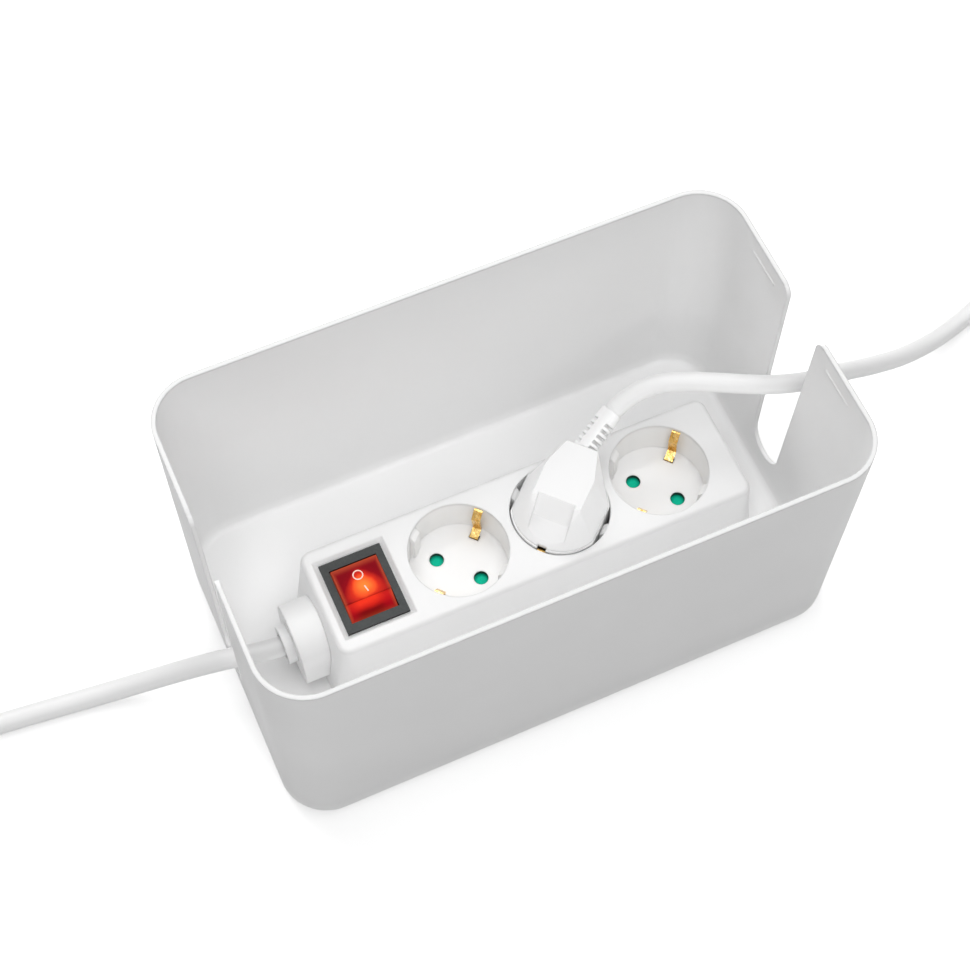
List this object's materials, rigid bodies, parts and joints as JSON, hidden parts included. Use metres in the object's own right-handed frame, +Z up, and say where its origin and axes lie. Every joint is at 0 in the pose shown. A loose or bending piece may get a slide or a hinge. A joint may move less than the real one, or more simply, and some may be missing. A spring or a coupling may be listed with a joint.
{
  "type": "cable management box",
  "caption": "Open cable management box: deep tray with end slots holding a switched socket strip, a plug pushed into it and two free leads.",
  "frame": {"origin": "under the middle of the tray, on the plane of its foot tips", "axes": "+X along the tray toward the end where the appliance lead leaves, +Y to the back wall, +Z up"},
  "size_m": [0.816, 0.1519, 0.123],
  "materials": {
    "tray": "smooth satin",
    "feet": "soft matte",
    "strip": "smooth satin gloss",
    "base": "smooth",
    "steel": "zinc plated",
    "contact_brass": "bright sheet brass",
    "shutter_green": "smooth",
    "switch_black": "fine satin",
    "switch_red": "translucent, glossy",
    "lamp": "lit neon glass",
    "pin_nickel": "nickel plated",
    "cord_white": "smooth soft sheath",
    "core_sheath": "smooth",
    "plug_white": "smooth satin gloss"
  },
  "bodies": {
    "box": {"tray": "tray", "tray_feet": "feet", "strip_housing": "strip", "strip_base": "base", "base_screws": "steel", "live_rail": "contact_brass", "neutral_rail": "contact_brass", "earth_rail": "contact_brass", "shutter_2": "shutter_green", "shutter_springs": "steel", "shutter_caps": "steel", "switch_frame": "switch_black", "switch_terminals": "steel", "gland_collar": "strip", "gland_ring": "strip", "cord_clamp": "base", "clamp_screws": "steel", "core_wires": "core_sheath", "mains_cord": "cord_white", "mains_coil": "cord_white", "mains_plug_body": "cord_white", "mains_plug_pins": "pin_nickel", "mains_plug_earth": "steel", "mains_plug_relief": "cord_white", "run_cord": "cord_white", "plug_coil": "cord_white", "connector_body": "cord_white", "connector_contacts": "contact_brass", "connector_relief": "cord_white"},
    "plug": {"plug_body": "plug_white", "plug_pins": "pin_nickel", "plug_earth": "steel", "plug_relief": "plug_white", "plug_cord": "cord_white"},
    "rocker": {"rocker": "switch_red", "neon_lamp": "lamp"},
    "shutter_1": {"shutter_1": "shutter_green"},
    "shutter_3": {"shutter_3": "shutter_green"}
  },
  "joints": [
    {"name": "rocker_tilt", "type": "hinge", "parent": "box", "child": "rocker", "pos_m": [-0.0613, -0.0017, 0.0414], "axis": [-1, 0, 0], "range_deg": [0, 18]},
    {"name": "shutter_1_turn", "type": "hinge", "parent": "box", "child": "shutter_1", "pos_m": [-0.0221, -0.0017, 0.0244], "axis": [0, 0, 1], "range_deg": [0, 40], "stiffness_Nm_per_rad": 0.002},
    {"name": "shutter_3_turn", "type": "hinge", "parent": "box", "child": "shutter_3", "pos_m": [0.0635, -0.0017, 0.0244], "axis": [0, 0, 1], "range_deg": [0, 40], "stiffness_Nm_per_rad": 0.002},
    {"name": "plug_pull", "type": "slide", "parent": "box", "child": "plug", "axis": [0, 0, 1], "range_m": [0, 0.04]}
  ]
}
